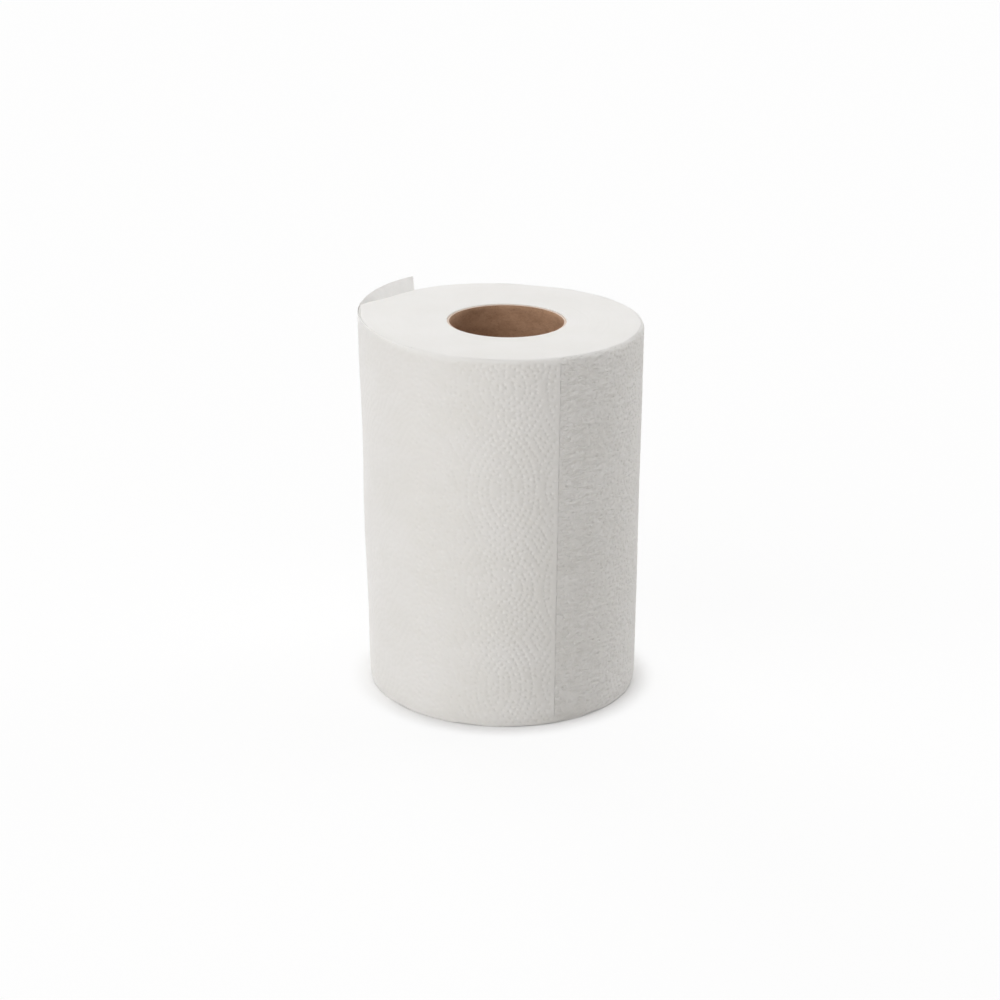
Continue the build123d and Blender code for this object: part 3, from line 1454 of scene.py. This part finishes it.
@dataclass(frozen=True)
class BoardFinish:
    """Brown board of the tube: clouds, fibres, specks and a darker seam along the helix."""

    name: str
    seam_lead: float
    seam_start: float
    light: tuple[int, int, int] = (184, 147, 118)
    dark: tuple[int, int, int] = (156, 121, 94)
    fleck: tuple[int, int, int] = (84, 60, 45)
    seam_share: float = 0.003
    grain_depth: float = 0.00012

    def make(self) -> bpy.types.Material:
        """Write the material.

        Returns:
            The material.
        """
        material, graph = new_material(self.name)
        x, y, z = graph.place_parts()
        # Whole turns keep the number above 0, and half a turn more puts the seam in the middle of each part
        shift = 8.5 - self.seam_start / FULL_TURN
        turn = (y.angle_to(x) / FULL_TURN - z / self.seam_lead + shift).part() - 0.5
        seam = 1.0 - (turn * turn).eased(0.0, self.seam_share**2)
        cloud = graph.noise((90.0, 90.0, 150.0), detail=4.0, roughness=0.6)
        fibre = graph.noise((600.0, 600.0, 1100.0), detail=4.0, roughness=0.7)
        specks = graph.noise((1400.0, 1400.0, 1400.0), detail=2.0, roughness=0.5).eased(0.64, 0.72)
        mottle = (cloud * 0.6 + fibre * 0.4).eased(0.32, 0.66)
        base = graph.mix_colour(mottle, linear(*self.dark), linear(*self.light))
        flecked = graph.mix_colour(specks * 0.5, base, linear(*self.fleck))
        colour = graph.mix_colour(seam * 0.5, flecked, linear(*self.fleck))
        graph.finish(graph.principled({
            "Base Color": colour,
            "Roughness": 0.72 + 0.2 * fibre,
            "Normal": graph.bump(fibre * 0.7 + cloud * 0.3, self.grain_depth),
            "Specular IOR Level": 0.35,
        }))
        return material


@dataclass(frozen=True)
class CutEdgeFinish:
    """Pale cut end of the tube, where the board's plies show as fine rings."""

    name: str
    light: tuple[int, int, int] = (236, 221, 208)
    dark: tuple[int, int, int] = (200, 172, 150)
    ply_pitch: float = 0.0004
    grain_depth: float = 0.0001

    def make(self) -> bpy.types.Material:
        """Write the material.

        Returns:
            The material.
        """
        material, graph = new_material(self.name)
        x, y, _z = graph.place_parts()
        radius = (x * x + y * y).root()
        ply = (radius / self.ply_pitch).part()
        line = 1.0 - (ply * (1.0 - ply)).eased(0.02, 0.14)
        fibre = graph.noise((1300.0, 1300.0, 1300.0), detail=4.0, roughness=0.7)
        colour = graph.mix_colour(line * 0.5 + fibre * 0.4, linear(*self.light), linear(*self.dark))
        graph.finish(graph.principled({
            "Base Color": colour,
            "Roughness": 0.8 + 0.15 * fibre,
            "Normal": graph.bump(fibre, self.grain_depth),
            "Specular IOR Level": 0.3,
        }))
        return material


@dataclass(frozen=True)
class PhotoCamera:
    """Camera at the photograph's place, from the picture's perspective."""

    distance: float = 1345.0
    aim_level: float = 100.0
    elevation: float = 20.34
    roll: float = 0.64
    focal_pixels: float = 2517.0
    centre_shift_pixels: float = 4.65
    sensor: float = 36.0
    clip_near: float = 0.05
    clip_far: float = 60.0

    def make(self) -> bpy.types.Object:
        """Write the camera and make it the scene's own.

        Returns:
            The camera.
        """
        data = bpy.data.cameras.new("photo_camera")
        data.sensor_width = self.sensor
        data.lens = self.focal_pixels * self.sensor / PHOTO_WIDTH
        data.shift_x = -self.centre_shift_pixels / PHOTO_WIDTH
        data.clip_start = self.clip_near
        data.clip_end = self.clip_far
        camera = bpy.data.objects.new("photo_camera", data)
        tilt = math.radians(self.elevation)
        back = Vector((0.0, -math.cos(tilt), math.sin(tilt)))
        turn = (-back).to_track_quat("-Z", "Y").to_matrix().to_4x4()
        place = Matrix.Translation(Vector((0.0, 0.0, self.aim_level * MM)) + back * self.distance * MM)
        camera.matrix_world = place @ turn @ Matrix.Rotation(math.radians(self.roll), 4, "Z")
        bpy.context.scene.camera = link(camera)
        return camera


@dataclass(frozen=True)
class SunLamp:
    """A soft lamp far away, by its direction from the roll."""

    name: str
    azimuth: float
    elevation: float
    strength: float
    spread: float
    reach: float = 2.0

    def make(self) -> bpy.types.Object:
        """Write the lamp.

        Returns:
            The lamp.
        """
        data = bpy.data.lights.new(self.name, "SUN")
        data.energy = self.strength
        data.angle = math.radians(self.spread)
        lamp = bpy.data.objects.new(self.name, data)
        turn = math.radians(self.azimuth)
        rise = math.radians(self.elevation)
        towards = Vector((math.sin(turn) * math.cos(rise), -math.cos(turn) * math.cos(rise), math.sin(rise)))
        lamp.rotation_mode = "QUATERNION"
        lamp.rotation_quaternion = towards.to_track_quat("Z", "Y")
        lamp.location = towards * self.reach
        return link(lamp)


@dataclass
class Studio:
    """Pale floor, soft light and white surroundings."""

    floor_size: float = 40.0
    floor_seen: tuple[float, float, float, float] = (1.0, 1.0, 1.0, 1.0)
    floor_bounce: tuple[float, float, float, float] = (0.62, 0.605, 0.59, 1.0)
    floor_lift: float = 0.88
    lift_start: float = 0.070
    lift_end: float = 0.085
    sky_colour: tuple[float, float, float, float] = (1.0, 0.975, 0.95, 1.0)
    sky_back: float = 0.36
    sky_rise: tuple[float, float] = (-0.3, 0.6)
    lamps: tuple[SunLamp, ...] = (
        SunLamp("key_lamp", azimuth=-50.0, elevation=27.0, strength=1.60, spread=60.0),
        SunLamp("front_lamp", azimuth=8.0, elevation=30.0, strength=0.66, spread=50.0),
        SunLamp("top_lamp", azimuth=150.0, elevation=72.0, strength=0.92, spread=50.0),
        SunLamp("right_lamp", azimuth=116.0, elevation=5.0, strength=1.36, spread=30.0),
        SunLamp("back_lamp", azimuth=-150.0, elevation=10.0, strength=1.45, spread=40.0),
    )

    def make(self) -> None:
        """Write the floor, the lamps, the surroundings and the view settings."""
        bpy.context.scene.view_settings.view_transform = "Standard"
        self._floor()
        self._surroundings()
        for lamp in self.lamps:
            lamp.make()

    def _floor(self) -> None:
        """Write the floor."""
        half = self.floor_size / 2.0
        mesh = bpy.data.meshes.new("studio_floor")
        corners = [(-half, -half, 0.0), (half, -half, 0.0), (half, half, 0.0), (-half, half, 0.0)]
        mesh.from_pydata(corners, [], [(0, 1, 2, 3)])
        floor = link(bpy.data.objects.new("studio_floor", mesh))
        material, graph = new_material("floor_paint")
        shown = graph.seen_directly()
        colour = graph.mix_colour(shown, self.floor_bounce, self.floor_seen)
        matte = graph.principled({"Base Color": colour, "Roughness": 0.9, "Specular IOR Level": 0.0})
        white = graph.node("ShaderNodeEmission", {}, {"Color": self.floor_seen, "Strength": 1.0})
        x, y, _z = graph.place_parts()
        lift = (x * x + y * y).root().eased(self.lift_start, self.lift_end) * self.floor_lift
        graph.finish(graph.node("ShaderNodeMixShader", {}, {0: shown * lift, 1: matte, 2: white}))
        mesh.materials.append(material)

    def _surroundings(self) -> None:
        """Write the world: white where it is seen, and a soft sky for the light."""
        world = bpy.data.worlds.new("studio_world")
        world.use_nodes = True
        bpy.context.scene.world = world
        graph = Graph(world.node_tree)
        shown = graph.seen_directly()
        direction = graph.node("ShaderNodeTexCoord", {}, {}, "Generated")
        back = graph.node("ShaderNodeSeparateXYZ", {}, {"Vector": direction}, "Y")
        sky = back.eased(*self.sky_rise) * self.sky_back
        strength = shown + (1.0 - shown) * sky
        colour = graph.mix_colour(shown, self.sky_colour, self.floor_seen)
        background = graph.node("ShaderNodeBackground", {}, {"Color": colour, "Strength": strength})
        graph.node("ShaderNodeOutputWorld", {}, {"Surface": background})


@dataclass
class TowelRoll:
    """The whole roll: core tube, wound turns and the sheets of its last turns."""

    web: Web
    core: CoreTube
    turns: WoundTurns
    sheets: list[Sheet]

    @classmethod
    def from_frame(cls) -> TowelRoll:
        """Take the roll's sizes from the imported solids.

        Returns:
            The roll, ready to build.
        """
        core_low, core_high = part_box("core_tube")
        towel_low, towel_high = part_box("towel_roll")
        outside_radius = core_high.x / MM
        web = Web(height=(towel_high.z - towel_low.z) / MM, radius=ROLL_RADIUS)
        core = CoreTube(outside_radius - CORE_WALL, outside_radius, core_low.z / MM, core_high.z / MM)
        turns = WoundTurns(web, outside_radius + GLUE_GAP)
        emboss = Emboss()
        first = web.sheet_length
        second = 2.0 * web.sheet_length
        tied = SheetEdge.PERFORATED
        firm = 1.25
        soft = 0.9
        sheets = [
            Sheet("towel_sheet_last", web, emboss, 0.0, first, SheetEdge.TORN, tied, firm),
            Sheet("towel_sheet_second", web, emboss, first, second, tied, tied, firm, strain_ripple=0.3),
            Sheet("towel_sheet_third", web, emboss, second, web.end, tied, SheetEdge.HIDDEN, soft),
        ]
        return cls(web, core, turns, sheets)

    def build(self) -> Iterator[bpy.types.Object]:
        """Make each piece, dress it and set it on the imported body.

        Returns:
            The pieces, one after the other.
        """
        board = BoardFinish("core_board", self.core.seam_lead * MM, self.core.seam_start).make()
        cut_edge = CutEdgeFinish("core_cut_edge").make()
        tube = self.core.build(board, cut_edge)
        yield self._fit(tube, "core_tube", "core_board")
        turns = self.turns.build(PaperFinish("towel_cut_edges").make())
        yield self._fit(turns, "towel_roll", "towel_paper")
        paper = PaperFinish("towel_paper").make()
        # This finish paints shade into its wrinkle grooves as a darker colour.
        strained = PaperFinish("towel_paper_strained_painted_shade", crease_bump_and_shade_share=0.8).make()
        for sheet in self.sheets:
            piece = sheet.build(strained if sheet.strain_ripple > 0.0 else paper)
            yield self._fit(piece, "towel_roll", "towel_paper")

    @staticmethod
    def _fit(piece: bpy.types.Object, node: str, slot: str) -> bpy.types.Object:
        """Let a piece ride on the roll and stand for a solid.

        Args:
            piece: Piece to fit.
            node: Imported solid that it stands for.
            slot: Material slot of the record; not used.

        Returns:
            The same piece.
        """
        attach(piece, "root")
        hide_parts(node)
        return piece


def main() -> None:
    """Build the roll and its studio, and note the sizes."""
    logging.basicConfig(level=logging.INFO, format="%(name)s %(message)s")
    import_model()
    for piece in TowelRoll.from_frame().build():
        LOG.info("fitted %s", piece.name)
    Studio().make()
    PhotoCamera().make()
    bpy.context.view_layer.update()


if __name__ == "__main__":
    main()
